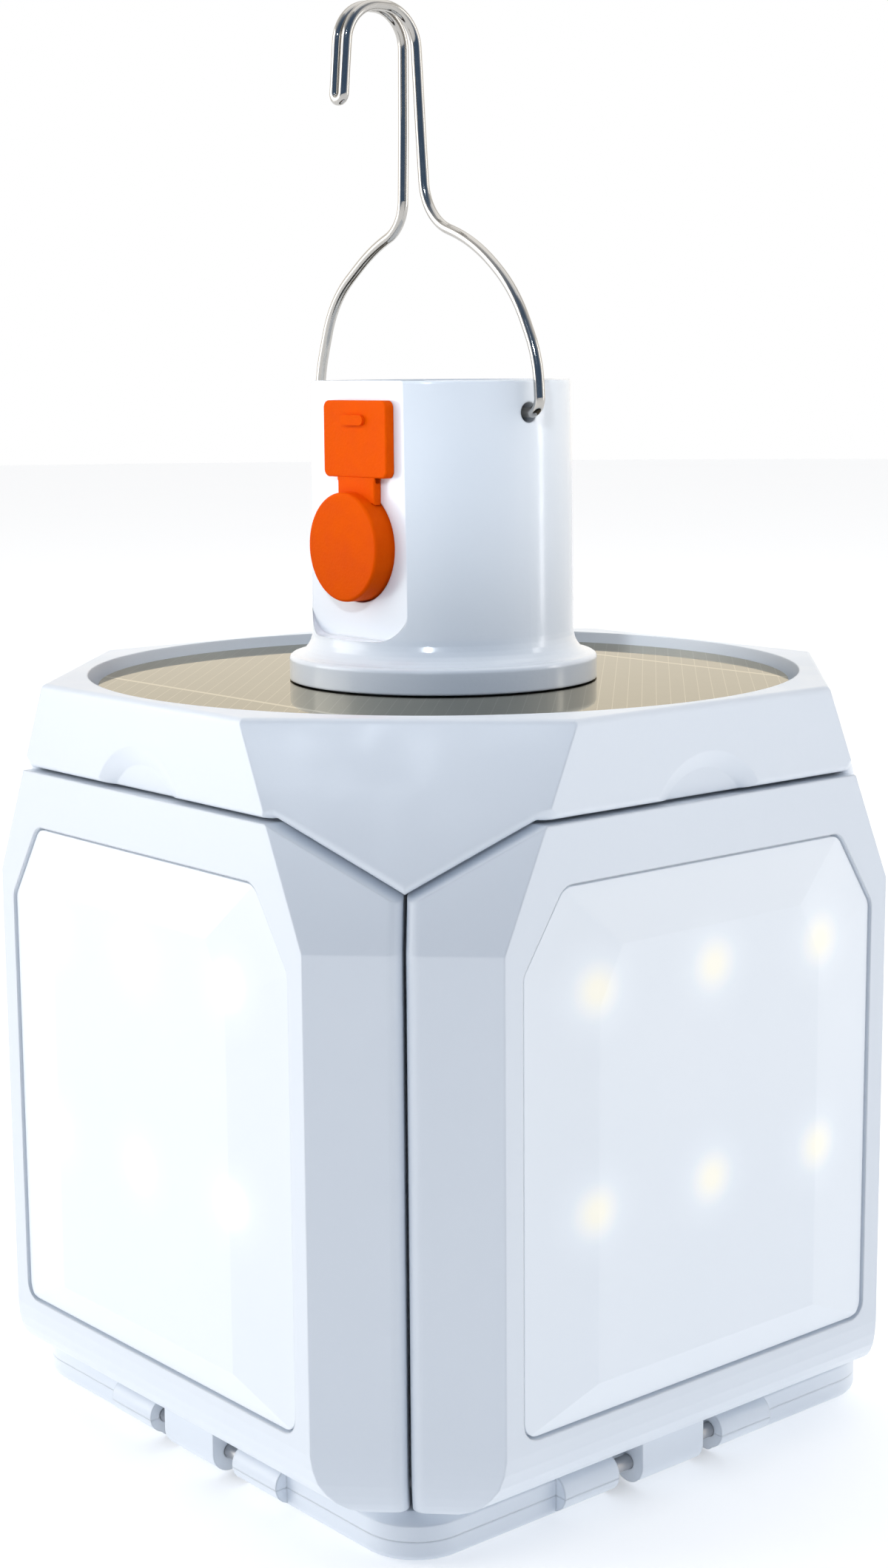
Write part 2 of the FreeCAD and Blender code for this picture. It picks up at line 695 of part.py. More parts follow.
def make_panel_back(side, quarter):
    body = new_body(f"{side}_back", quarter)
    outline = mirrored([(42.9, d.back_low), (42.9, 93.6), (30.0, 102.4)])
    pad(body, polygon_sketch(body, "yz", outline, d.panel_back - d.back_thick), d.back_thick - 0.02)
    posts = screw_spots()
    pocket(body, circle_sketch(body, "yz", posts, d.screw_r + 0.15,
                               d.panel_back - d.back_thick - 1), 4.0, True)
    pocket(body, circle_sketch(body, "yz", posts, d.screw_head_r + 0.2,
                               d.panel_back - d.back_thick - 1), 2.3, True)
    keep(body, f"{side}_back")
    heads = [(d.panel_back - d.back_thick + 0.05, y, z) for y, z in posts]
    screws(f"{side}_screws", heads, "x", 6.2, quarter)


def make_hinge_pin(side, quarter):
    pin = cylinder(f"{side}_pin_rod", d.pin_r, d.pin_half * 2,
                   (d.hinge_x, -d.pin_half, d.hinge_z), "y", quarter)
    keep(pin, f"{side}_pin")


def make_strike(side, quarter):
    """A steel plate under the panel's top wall that the cap's magnet holds."""
    under = d.parting_z - d.parting_gap - d.wall
    plate = box(f"{side}_strike_plate", (d.panel_back + 0.6, -7.0, under - 1), (6.0, 14.0, 1.0),
                quarter)
    keep(plate, f"{side}_strike")


# ---- core -----------------------------------------------------------------------------------

def make_core():
    """The square middle column, split into a front and a rear shell."""
    outer = rounded_plate("core_outer", d.core_half, 5.0, d.pedestal_top, d.core_top)
    inner = rounded_plate("core_inner", d.core_half - d.core_wall, 3.4, d.pedestal_top - 1,
                          d.core_top + 1)
    tube = cut("core_tube", outer, inner)
    reach = d.core_half + 5
    for label, low in (("core_rear", d.core_gap / 2), ("core_front", -reach - d.core_gap / 2)):
        zone = box(f"{label}_zone", (-reach, low, 0.0), (reach * 2, reach, d.core_top + 10))
        keep(common(f"{label}_solid", [tube, zone]), label)


def make_power():
    cell = cylinder("battery_can", d.battery_r, d.battery_long, (0.0, d.battery_y, d.battery_low))
    keep(cell, "battery")
    ends = [d.battery_low - 1.0, d.battery_low + d.battery_long]
    plates = [centred_box(f"contact_{index}", (0.0, d.battery_y, low + 0.5), (12.0, 12.0, 1.0))
              for index, low in enumerate(ends)]
    keep(compound("contact_group", plates), "battery_contacts")
    keep(box("main_board_plate", (-30.0, -8.0, 24.0), (60.0, 1.6, 70.0)), "main_board")
    chips = [box("chip_0", (-6.0, -9.4, 60.0), (12.0, 1.4, 12.0)),
             box("chip_1", (-22.0, -9.2, 40.0), (8.0, 1.2, 6.0)),
             box("chip_2", (12.0, -11.0, 36.0), (10.0, 3.0, 10.0))]
    keep(compound("chip_group", chips), "board_chips")


# ---- cap fittings ---------------------------------------------------------------------------

def make_chassis():
    body = new_body("chassis_plate")
    outline = octagon(d.chassis_half, d.chassis_facet)
    pad(body, polygon_sketch(body, "xy", outline, d.chassis_low), d.chassis_thick)
    pocket(body, circle_sketch(body, "xy", [(0, 0)], 15.0, d.chassis_low - 1), 6.0, True)
    pocket(body, circle_sketch(body, "xy", CAP_POSTS, d.screw_r + 0.15, d.chassis_low - 1), 6.0, True)
    seats = []
    for quarter in range(4):
        x, y = turned(47.0, 0.0, quarter)
        seats.append((x, y))
    pocket(body, circle_sketch(body, "xy", seats, 4.1, d.chassis_low - 1), 2.4, True)
    keep(body, "cap_chassis")
    magnets = []
    for quarter in range(4):
        magnets.append(cylinder(f"magnet_{quarter}", 4.0, 1.3, (47.0, 0.0, d.chassis_low), "z",
                                quarter))
    keep(compound("magnet_group", magnets), "latch_magnets")
    heads = [(x, y, d.chassis_low - d.screw_head) for x, y in CAP_POSTS]
    screws("cap_screws", heads, "z", 7.6)


def make_solar_ring():
    for label, low, thick, trim in (("solar_board", d.solar_low, d.solar_board, 0.0),
                                    ("solar_face", d.solar_low + d.solar_board, d.solar_face, 0.1)):
        disc = cylinder(f"{label}_disc", d.solar_r - trim, thick, (0.0, 0.0, low))
        hole = cylinder(f"{label}_hole", d.solar_hole_r + trim, 8.0, (0.0, 0.0, low - 2))
        keep(cut(f"{label}_ring", disc, hole), label)


# ---- neck -----------------------------------------------------------------------------------

def collar_flare():
    """The hollow curve from the collar's round shoulder up to the tube."""
    points = [(d.collar_r - 0.15, d.collar_high + 0.35), (d.collar_r - 0.5, d.collar_high + 0.6)]
    reach = d.collar_r - 0.5 - d.neck_low_r
    height = d.collar_fillet - d.collar_high - 0.6
    for step in range(1, FLARE_STEPS + 1):
        angle = math.radians(90 * step / FLARE_STEPS)
        points.append((d.neck_low_r + reach * (1 - math.sin(angle)),
                       d.collar_high + 0.6 + height * (1 - math.cos(angle))))
    return points


def make_neck():
    """A round tube with a flared collar, a flat for the switch and port, and two bail holes."""
    body = new_body("neck_turned")
    outline = [(d.neck_bore, d.neck_foot), (d.neck_low_r, d.neck_foot),
               (d.neck_low_r, d.collar_low), (d.collar_r, d.collar_low),
               (d.collar_r, d.collar_high), *collar_flare(),
               (d.neck_r, d.neck_top), (d.neck_bore, d.neck_top)]
    sketch = polygon_sketch(body, "xz", outline)
    turn = body.newObject("PartDesign::Revolution", "neck_revolve")
    turn.Profile = sketch
    turn.ReferenceAxis = (sketch, ["V_Axis"])
    turn.Angle = 360
    soften(body, "Fillet", 0.5, lambda edge: near(middle_of(edge).z, d.neck_top)
           and not near(Part.Vertex(middle_of(edge)).Point.distanceToPoint(
               FreeCAD.Vector(0, 0, number(d.neck_top))), d.neck_bore, 0.3))
    wall = common("flat_wall", [
        cylinder("flat_wall_round", d.neck_r - 0.3, d.neck_top - d.flat_low + 4,
                 (0.0, 0.0, d.flat_low - 4)),
        box("flat_wall_zone", (-15.0, -d.flat_y - 4, d.flat_low - 5),
            (30.0, d.flat_wall + 4, d.neck_top - d.flat_low + 5))])
    solid = fuse("neck_walled", [body, wall])
    flat = new_body("neck_flat")
    window = [(-d.flat_half, d.flat_low), (d.flat_half, d.flat_low),
              (d.flat_half, d.neck_top + 5), (-d.flat_half, d.neck_top + 5)]
    pad(flat, polygon_sketch(flat, "xz", window, d.flat_y), 10.0)
    soften(flat, "Fillet", number(d.flat_round),
           lambda edge: near(abs(direction_of(edge).y), 1.0) and near(middle_of(edge).z, d.flat_low))
    bore = cylinder("button_hole", d.button_bore, 8.0, (d.button_x, -d.flat_y - 1, d.button_z), "y")
    port = box("port_window", (d.button_x - d.plug_half - 0.5, -d.flat_y - 1, d.plug_low - 0.5),
               ((d.plug_half + 0.5) * 2, 6.0, d.plug_high - d.plug_low + 1.2))
    bail = cylinder("bail_bore", d.bail_hole_r, d.neck_r * 2 + 10,
                    (-d.neck_r - 5, 0.0, d.bail_hole_z), "x")
    tools = fuse("neck_cuts", [flat, bore, port, bail])
    keep(cut("neck_solid", solid, tools), "neck")
    lid = cylinder("lid_disc", d.neck_bore - 0.15, d.neck_lid, (0.0, 0.0, d.neck_top - d.neck_lid - 0.3))
    trim = box("lid_trim", (-20.0, -30.0, d.neck_top - 10),
               (40.0, 30.0 - d.flat_y + d.flat_wall + 0.15, 20.0))
    keep(cut("lid_solid", lid, trim), "neck_lid")


def make_neck_inside():
    board_y = -d.flat_y + d.flat_wall + 4.3
    keep(box("neck_board_plate", (-10.0, board_y, 126.0), (20.0, 1.2, 29.0)), "neck_board")
    shell = box("port_shell", (d.button_x - 4.2, board_y - 3.6, d.plug_low), (8.4, 3.5, 3.2))
    mouth = box("port_mouth", (d.button_x - 3.7, board_y - 4.6, d.plug_low + 0.5), (7.4, 3.6, 2.2))
    keep(cut("port_solid", shell, mouth), "charge_port")
    can = centred_box("switch_can", (d.button_x, board_y - 1.1, d.button_z), (6.0, 2.0, 6.0))
    plunger = cylinder("switch_plunger", 1.7, 0.6, (d.button_x, board_y - 2.55, d.button_z), "y")
    keep(fuse("switch_solid", [can, plunger]), "mode_switch")


# ---- silicone pieces ------------------------------------------------------------------------

def make_button():
    """A thick round key with a flange that stops it behind the flat wall."""
    length = d.button_face - d.flat_y + d.flat_wall + 0.9
    body = new_body("button_body")
    centre = [(d.button_x, d.button_z)]
    pad(body, circle_sketch(body, "xz", centre, d.button_r, d.button_face - length), length)
    soften(body, "Fillet", 0.5, lambda edge: near(middle_of(edge).y, -d.button_face))
    pad(body, circle_sketch(body, "xz", centre, d.button_r + 1.2, d.button_face - length), 0.7)
    keep(body, "power_button")


def make_flap():
    """The port cover: a tab that swings down on its strap, with a grip bead and a plug."""
    body = new_body("flap_body")
    outline = [(-d.flap_left, d.flap_low), (d.flap_right, d.flap_low),
               (d.flap_right, d.flap_high), (-d.flap_left, d.flap_high)]
    gap = 0.1
    pad(body, polygon_sketch(body, "xz", outline, d.flat_y + gap), d.flap_thick - gap)
    soften(body, "Fillet", 1.1, lambda edge: near(abs(direction_of(edge).y), 1.0))
    soften(body, "Fillet", 0.3, lambda edge: near(middle_of(edge).y, -d.flat_y - d.flap_thick))
    left = d.strap_x - d.strap_half
    right = d.strap_x + d.strap_half
    strap = [(left, d.strap_axis_z), (right, d.strap_axis_z), (right, d.flap_low + 0.6),
             (left, d.flap_low + 0.6)]
    pad(body, polygon_sketch(body, "xz", strap, d.flat_y + gap), d.strap_thick - gap)
    roll = cylinder("flap_roll", (d.strap_thick - gap) / 2, d.strap_half * 2,
                    (left, -d.flat_y - (d.strap_thick + gap) / 2, d.strap_axis_z), "x")
    bead_z = d.flap_high - 2.9
    bead_r, bead_half, bead_high = 0.75, 1.9, 0.6
    ends = (d.strap_x - bead_half, d.strap_x + bead_half)
    beads = [cylinder(f"bead_{index}", bead_r, bead_high + 0.2,
                      (x, 0.2 - d.flat_y - d.flap_thick, bead_z), "-y")
             for index, x in enumerate(ends)]
    beads.append(box("bead_bar", (ends[0], -d.flat_y - d.flap_thick - bead_high, bead_z - bead_r),
                     (bead_half * 2, bead_high + 0.2, bead_r * 2)))
    plug = box("flap_plug", (d.button_x - d.plug_half, -d.flat_y - gap - 0.1, d.plug_low),
               (d.plug_half * 2, d.plug_deep + 0.1, d.plug_high - d.plug_low))
    keep(fuse("flap_solid", [body, roll, plug] + beads), "port_flap")
    stub_top = d.strap_axis_z - (d.strap_thick - gap) / 2 - 0.5
    stub_low = d.button_z + d.button_bore + 0.1
    stub = box("strap_stub", (left, -d.flat_y - d.strap_thick, stub_low),
               (d.strap_half * 2, d.strap_thick - 0.02, stub_top - stub_low))
    keep(stub, "strap_root")


# ---- wire bail and hook ---------------------------------------------------------------------

def rounded_path(points, tightest):
    """Straight runs joined by tangent arcs, each as large as its two runs allow."""
    corners = [FreeCAD.Vector(*point) for point in points]
    edges = []
    start = corners[0]
    for before, corner, after, limit in zip(corners, corners[1:], corners[2:], tightest):
        incoming = corner - before
        outgoing = after - corner
        turn = incoming.getAngle(outgoing)
        room = 0.47 * min(incoming.Length, outgoing.Length)
        radius = min(limit, room / math.tan(turn / 2))
        setback = radius * math.tan(turn / 2)
        enter = corner - incoming.normalize() * setback
        leave = corner + outgoing.normalize() * setback
        bulge = (enter + leave) * 0.5 - corner
        centre_far = radius / math.cos(turn / 2)
        on_arc = corner + bulge.normalize() * (centre_far - radius)
        edges.append(Part.LineSegment(start, enter).toShape())
        edges.append(Part.Arc(enter, on_arc, leave).toShape())
        start = leave
    edges.append(Part.LineSegment(start, corners[-1]).toShape())
    return Part.Wire(edges)


def bail_route():
    """One wire from the left pivot up to the hook's tip and back down to the right pivot."""
    pivot = number(d.bail_hole_z)
    base = number(d.rim_z)
    loose = 60.0
    route = [
        ((-17.0, 0.0, pivot), None),
        ((-30.8, 0.0, pivot), 2.4),
        ((-30.2, 0.0, base + 46.0), loose),
        ((-26.6, 0.0, base + 57.0), loose),
        ((-16.5, 0.0, base + 64.5), loose),
        ((-8.9, 0.0, base + 67.7), loose),
        ((-8.5, 0.0, base + 82.0), loose),
        ((-8.3, 0.0, base + 100.0), 6.1),
        ((-8.1, -12.5, base + 100.0), 6.1),
        ((-8.05, -13.7, base + 85.8), 1.02),
        ((-5.95, -13.7, base + 85.8), 1.02),
        ((-5.9, -12.5, base + 100.0), 6.1),
        ((-5.7, 0.0, base + 100.0), 6.1),
        ((-4.4, 0.0, base + 82.0), loose),
        ((-3.3, 0.0, base + 68.7), loose),
        ((8.0, 0.0, base + 64.9), loose),
        ((17.0, 0.0, base + 57.5), loose),
        ((22.0, 0.0, base + 47.5), loose),
        ((22.5, 0.0, pivot), 2.0),
        ((8.6, 0.0, pivot), None),
    ]
    points = [point for point, limit in route]
    limits = [limit for point, limit in route[1:-1]]
    return rounded_path(points, limits)


def make_bail():
    path = bail_route()
    first = path.Edges[0]
    ring = Part.Circle(first.Vertexes[0].Point, X_AXIS, number(d.wire_r))
    profile = Part.Wire([ring.toShape()])
    made = doc.addObject("Part::Feature", "bail_pipe")
    made.Shape = path.makePipeShell([profile], True, False)
    made.Placement = FreeCAD.Placement()
    keep(made, "bail_wire")


# ---- build and write ------------------------------------------------------------------------

def build():
    make_base()
    make_base_light()
    for quarter, side in enumerate(SIDES):
        make_panel_frame(side, quarter)
        make_lens(side, quarter)
        make_panel_inside(side, quarter)
        make_panel_back(side, quarter)
        make_hinge_pin(side, quarter)
        make_strike(side, quarter)
    make_core()
    make_power()
    make_cap()
    make_chassis()
    make_solar_ring()
    make_neck()
    make_neck_inside()
    make_button()
    make_flap()
    make_bail()
    doc.recompute()


def check():
    for item in doc.Objects:
        if "Invalid" in item.State or "Error" in item.State:
            raise RuntimeError(f"{item.Name} failed: {item.State}")
    for item in sub_parts:
        if item.Shape.isNull() or not item.Shape.isValid():
            raise RuntimeError(f"{item.Label} has no valid shape")
        if not item.Shape.Solids:
            raise RuntimeError(f"{item.Label} holds no solid")


def write():
    os.makedirs("parts", exist_ok=True)
    for item in sub_parts:
        item.Shape.exportStep(f"parts/{item.Label}.step")
        print(f"{item.Label}: {len(item.Shape.Solids)} solids, {item.Shape.Volume / 1000:.2f} cm3")


build()
check()
write()
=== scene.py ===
import json
import math

import bmesh
import bpy
from mathutils import Matrix, Vector


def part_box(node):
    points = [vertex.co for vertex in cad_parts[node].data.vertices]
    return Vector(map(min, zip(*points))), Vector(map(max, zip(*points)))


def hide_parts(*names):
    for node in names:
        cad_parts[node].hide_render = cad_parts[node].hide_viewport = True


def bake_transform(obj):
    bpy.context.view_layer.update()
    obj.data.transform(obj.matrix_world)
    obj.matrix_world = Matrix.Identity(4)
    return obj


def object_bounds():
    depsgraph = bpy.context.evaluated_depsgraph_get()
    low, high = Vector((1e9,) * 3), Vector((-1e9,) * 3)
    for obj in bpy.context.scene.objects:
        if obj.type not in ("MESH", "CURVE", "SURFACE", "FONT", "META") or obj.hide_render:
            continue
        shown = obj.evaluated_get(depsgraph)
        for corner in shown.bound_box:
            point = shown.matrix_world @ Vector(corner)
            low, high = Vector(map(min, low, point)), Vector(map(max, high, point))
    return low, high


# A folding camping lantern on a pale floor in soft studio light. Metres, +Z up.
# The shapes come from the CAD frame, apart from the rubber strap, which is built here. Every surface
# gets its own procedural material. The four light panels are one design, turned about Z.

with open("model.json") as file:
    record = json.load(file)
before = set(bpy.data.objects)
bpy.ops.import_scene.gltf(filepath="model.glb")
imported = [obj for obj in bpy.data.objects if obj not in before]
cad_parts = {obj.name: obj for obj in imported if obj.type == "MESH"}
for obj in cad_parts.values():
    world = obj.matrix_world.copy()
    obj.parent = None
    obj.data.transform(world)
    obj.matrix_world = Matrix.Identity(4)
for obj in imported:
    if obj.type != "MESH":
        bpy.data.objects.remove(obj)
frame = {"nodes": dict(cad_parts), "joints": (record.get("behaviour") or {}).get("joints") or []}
for name in ("Cube", "Light", "Camera"):
    if name in bpy.data.objects:
        bpy.data.objects.remove(bpy.data.objects[name])
cad_low, cad_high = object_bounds()

MM = 0.001
SIDES = ("right", "back", "left", "front")
PANEL_X_SIDES = ("right", "left")       # these panels face along X, the other two along Y

CAMERA_AT = (0.2942, -0.2491, 0.1634)
CAMERA_TURN = math.radians(49.75)
CAMERA_DOWN = math.radians(9.58)
CAMERA_ROLL = math.radians(-0.43)
CAMERA_LENS = 56.81                     # millimetres, on a sensor 36 mm high
VIEW_DIRECTION = (-math.sin(CAMERA_TURN), math.cos(CAMERA_TURN), 0.0)

EDGE_R = 0.45 * MM                      # how far the shading eases the moulded edges
LED_PITCH = 22.7 * MM                   # from the middle column of LEDs to the outer ones
LED_ROWS = (48.4 * MM, 79.8 * MM)       # heights of the two rows of LEDs
GLOW_CORE = (0.8 * MM, 5.2 * MM)        # a LED's core is full up to the first, gone at the second
GLOW_HALO = 9.5 * MM                    # where the wide halo round a LED is gone
CORE_GLOW = 0.15                        # emission that a core, a halo and the whole window add
HALO_GLOW = 0.07
WINDOW_GLOW = 0.085
FLOOR_GLOW = 0.31
FLOOR_R = 4.0                           # metres
FLOOR_GAP = 0.2 * MM                    # between the floor and the lantern's underside
HALF_FINGER = 1.05 * MM                 # half the spacing of the solar cells' silver fingers
BUSBAR_Y = 38.5 * MM                    # of the two wide silver lines, either side of the neck
BUTTON_R = 8.2 * MM
STRAP_CLEAR = 0.25 * MM                 # between the strap's end and the button
STRAP_TOP = 1.1 * MM                    # above the port cover's hinge, inside the cover
STRAP_PROUD = 0.02 * MM                 # in front of the cover's own strap, so that no faces coincide
STRAP_ROUND = 0.3 * MM
STRAP_ROWS = 16
CORNER_STEPS = 5                        # in each rounded corner of the strap's section
NECK_LIGHT_R = 46 * MM                  # radius that the spot lights at the neck


# ---- node helpers ---------------------------------------------------------------------------

class Nodes:
    """Short calls for adding shader nodes to one tree."""

    def __init__(self, tree):
        self.tree = tree

    def add(self, kind, **settings):
        node = self.tree.nodes.new(kind)
        for name, value in settings.items():
            setattr(node, name, value)
        return node

    def link(self, output, socket):
        self.tree.links.new(output, socket)

    def feed(self, socket, value):
        if isinstance(value, bpy.types.NodeSocket):
            self.link(value, socket)
        else:
            socket.default_value = value

    def math(self, operation, *values):
        node = self.add("ShaderNodeMath", operation=operation)
        for socket, value in zip(node.inputs, values):
            self.feed(socket, value)
        return node.outputs[0]

    def map_range(self, value, low, high, to_low=0.0, to_high=1.0, smooth=True):
        node = self.add("ShaderNodeMapRange")
        node.interpolation_type = "SMOOTHSTEP" if smooth else "LINEAR"
        self.feed(node.inputs["Value"], value)
        for name, number in (("From Min", low), ("From Max", high),
                             ("To Min", to_low), ("To Max", to_high)):
            self.feed(node.inputs[name], number)
        return node.outputs["Result"]

    def mix(self, factor, first, second):
        node = self.add("ShaderNodeMix", data_type="RGBA")
        self.feed(node.inputs[0], factor)
        for socket, value in ((node.inputs[6], first), (node.inputs[7], second)):
            self.feed(socket, value if isinstance(value, bpy.types.NodeSocket) else (*value, 1.0))
        return node.outputs[2]

    def noise(self, scale, detail=3.0, rough=0.5):
        node = self.add("ShaderNodeTexNoise")
        self.link(self.place(), node.inputs["Vector"])
        node.inputs["Scale"].default_value = scale
        node.inputs["Detail"].default_value = detail
        node.inputs["Roughness"].default_value = rough
        return node.outputs["Fac"]

    def place(self):
        """A point's own place on the lantern, in metres."""
        return self.add("ShaderNodeTexCoord").outputs["Object"]

    def split(self, vector):
        node = self.add("ShaderNodeSeparateXYZ")
        self.link(vector, node.inputs[0])
        return node.outputs


def new_material(name, **values):
    """A material with a Principled shader whose even values sit on its own sockets."""
    material = bpy.data.materials.new(name)
    material.use_nodes = True
    shader = material.node_tree.nodes["Principled BSDF"]
    for key, value in values.items():
        shader.inputs[key.replace("_", " ")].default_value = value
    return material, shader, Nodes(material.node_tree)


def add_grain(nodes, shader, scale, height, strength, edge=0.0):
    """A fine moulded grain in the surface, with its corners eased by a small radius."""
    bump = nodes.add("ShaderNodeBump")
    if edge > 0:
        ease = nodes.add("ShaderNodeBevel", samples=4)
        ease.inputs["Radius"].default_value = edge
        nodes.link(ease.outputs["Normal"], bump.inputs["Normal"])
    bump.inputs["Strength"].default_value = strength
    bump.inputs["Distance"].default_value = height
    nodes.link(nodes.noise(scale, 4.0), bump.inputs["Height"])
    nodes.link(bump.outputs["Normal"], shader.inputs["Normal"])


# ---- materials ------------------------------------------------------------------------------

def plastic(name, light, dark, rough, coat=0.0):
    material, shader, nodes = new_material(name, IOR=1.49, Coat_Weight=coat, Coat_Roughness=0.12)
    clouds = nodes.noise(28.0, 2.0)
    nodes.link(nodes.mix(clouds, dark, light), shader.inputs["Base Color"])
    flow = nodes.noise(160.0, 3.0)
    worn = nodes.map_range(flow, 0.3, 0.7, rough - 0.05, rough + 0.05)
    nodes.link(worn, shader.inputs["Roughness"])
    add_grain(nodes, shader, 1400.0, 0.06 * MM, 0.25, EDGE_R)
    return material


def glow_pattern(nodes, across):
    """The light of six LEDs seen through the frosted window: tight cores in wide halos."""
    place = nodes.split(nodes.place())
    side = nodes.math("ABSOLUTE", place["XY".index(across)])
    from_outer = nodes.math("ABSOLUTE", nodes.math("SUBTRACT", side, LED_PITCH))
    off_column = nodes.math("MINIMUM", side, from_outer)
    middle = (LED_ROWS[0] + LED_ROWS[1]) / 2
    half = (LED_ROWS[1] - LED_ROWS[0]) / 2
    height = nodes.math("ABSOLUTE", nodes.math("SUBTRACT", place[2], middle))
    off_row = nodes.math("ABSOLUTE", nodes.math("SUBTRACT", height, half))
    far = nodes.math("SQRT", nodes.math("ADD", nodes.math("POWER", off_column, 2.0),
                                        nodes.math("POWER", off_row, 2.0)))
    core = nodes.map_range(far, *GLOW_CORE, 1.0, 0.0)
    halo = nodes.map_range(far, 0.0, GLOW_HALO, 1.0, 0.0)
    return core, halo, place[2]


def lit_window(name, across):
    """Frosted plastic that glows where the LEDs are behind it, with painted shade that makes its glow
    dimmer and bluer towards the bottom.
    """
    material, shader, nodes = new_material(name, IOR=1.49, Coat_Weight=0.25, Coat_Roughness=0.08)
    core, halo, height = glow_pattern(nodes, across)
    clouds = nodes.noise(40.0, 2.0)
    nodes.link(nodes.mix(clouds, (0.82, 0.87, 0.92), (0.85, 0.89, 0.94)), shader.inputs["Base Color"])
    nodes.link(nodes.map_range(clouds, 0.3, 0.7, 0.28, 0.32), shader.inputs["Roughness"])
    # Painted shade: the glow's colour is dimmer and bluer low on the window and whiter high up.
    cool = nodes.mix(nodes.map_range(height, 20 * MM, 95 * MM), (0.82, 0.88, 0.97), (0.95, 0.97, 0.99))
    warm = nodes.mix(core, cool, (1.0, 0.76, 0.20))
    nodes.link(warm, shader.inputs["Emission Color"])
    level = nodes.math("ADD", nodes.math("MULTIPLY", core, CORE_GLOW),
                       nodes.math("MULTIPLY", halo, HALO_GLOW))
    nodes.link(nodes.math("ADD", level, WINDOW_GLOW), shader.inputs["Emission Strength"])
    add_grain(nodes, shader, 2500.0, 0.01 * MM, 0.10, 0.2 * MM)
    return material


def base_window(name):
    material, shader, nodes = new_material(name, IOR=1.49, Coat_Weight=0.25, Coat_Roughness=0.08)
    clouds = nodes.noise(40.0, 2.0)
    nodes.link(nodes.mix(clouds, (0.76, 0.82, 0.88), (0.84, 0.89, 0.94)), shader.inputs["Base Color"])
    nodes.link(nodes.map_range(clouds, 0.3, 0.7, 0.30, 0.36), shader.inputs["Roughness"])
    add_grain(nodes, shader, 2500.0, 0.01 * MM, 0.10)
    return material


def led_chip(name):
    """A yellow phosphor square in a white package, lit."""
    material, shader, nodes = new_material(name, Roughness=0.35, IOR=1.5)
    spots = nodes.noise(900.0, 2.0)
    nodes.link(nodes.mix(spots, (1.0, 0.86, 0.42), (1.0, 0.93, 0.66)), shader.inputs["Base Color"])
    nodes.link(nodes.mix(spots, (1.0, 0.93, 0.72), (1.0, 0.97, 0.86)), shader.inputs["Emission Color"])
    shader.inputs["Emission Strength"].default_value = 1.2
    return material


def board(name, light, dark):
    """Solder resist with faint traces under it."""
    material, shader, nodes = new_material(name, Roughness=0.32, IOR=1.5, Coat_Weight=0.2)
    traces = nodes.add("ShaderNodeTexVoronoi", distance="CHEBYCHEV", feature="F1")
    nodes.link(nodes.place(), traces.inputs["Vector"])
    traces.inputs["Scale"].default_value = 260.0
    edge = nodes.map_range(traces.outputs["Distance"], 0.32, 0.40)
    nodes.link(nodes.mix(edge, dark, light), shader.inputs["Base Color"])
    return material


def steel(name, tone, rough, grain=0.2):
    material, shader, nodes = new_material(name, Metallic=1.0)
    brushed = nodes.noise(500.0, 4.0, 0.6)
    darker = tuple(channel * 0.88 for channel in tone)
    nodes.link(nodes.mix(brushed, darker, tone), shader.inputs["Base Color"])
    worn = nodes.map_range(brushed, 0.3, 0.7, rough - 0.02, rough + 0.04)
    nodes.link(worn, shader.inputs["Roughness"])
    add_grain(nodes, shader, 1000.0, 0.03 * MM, grain)
    return material


def silicone(name):
    """Soft orange rubber with a fine matte tooth."""
    material, shader, nodes = new_material(
        name, IOR=1.40, Specular_IOR_Level=0.04, Subsurface_Weight=0.1, Subsurface_Scale=0.8 * MM)
    clouds = nodes.noise(220.0, 4.0, 0.6)
    nodes.link(nodes.mix(clouds, (0.76, 0.074, 0.0), (0.86, 0.108, 0.0)), shader.inputs["Base Color"])
    nodes.link(nodes.map_range(clouds, 0.3, 0.7, 0.50, 0.64), shader.inputs["Roughness"])
    add_grain(nodes, shader, 2600.0, 0.12 * MM, 0.5)
    return material


def solar_cells(name):
    """Dark cells under clear resin, with fine silver fingers and a wider busbar between cells."""
    material, shader, nodes = new_material(
        name, Metallic=1.0, Specular_Tint=(0.96, 0.91, 0.77, 1.0))
    place = nodes.split(nodes.place())
    across = nodes.math("DIVIDE", nodes.math("ADD", place[0], place[1]), math.sqrt(2))
    finger = nodes.math("PINGPONG", nodes.math("ADD", across, 1.0), HALF_FINGER)
    line = nodes.map_range(finger, 0.02 * MM, 0.09 * MM, 1.0, 0.0)
    from_middle = nodes.math("ABSOLUTE", place[1])
    bar_off = nodes.math("ABSOLUTE", nodes.math("SUBTRACT", from_middle, BUSBAR_Y))
    bar = nodes.map_range(bar_off, 0.35 * MM, 0.50 * MM, 1.0, 0.0)
    crystal = nodes.noise(240.0, 4.0, 0.6)
    cell = nodes.mix(crystal, (0.046, 0.040, 0.031), (0.098, 0.086, 0.066))
    metal = nodes.math("MAXIMUM", nodes.math("MULTIPLY", line, 0.35), nodes.math("MULTIPLY", bar, 0.6))
    nodes.link(nodes.mix(metal, cell, (0.62, 0.60, 0.56)), shader.inputs["Base Color"])
    nodes.link(nodes.map_range(nodes.noise(60.0), 0.3, 0.7, 0.02, 0.05), shader.inputs["Roughness"])
    return material


def wrap_film(name):
    material, shader, nodes = new_material(name, Roughness=0.25, IOR=1.5, Coat_Weight=0.4)
    nodes.link(nodes.mix(nodes.noise(60.0), (0.035, 0.14, 0.30), (0.05, 0.18, 0.36)),
               shader.inputs["Base Color"])
    return material


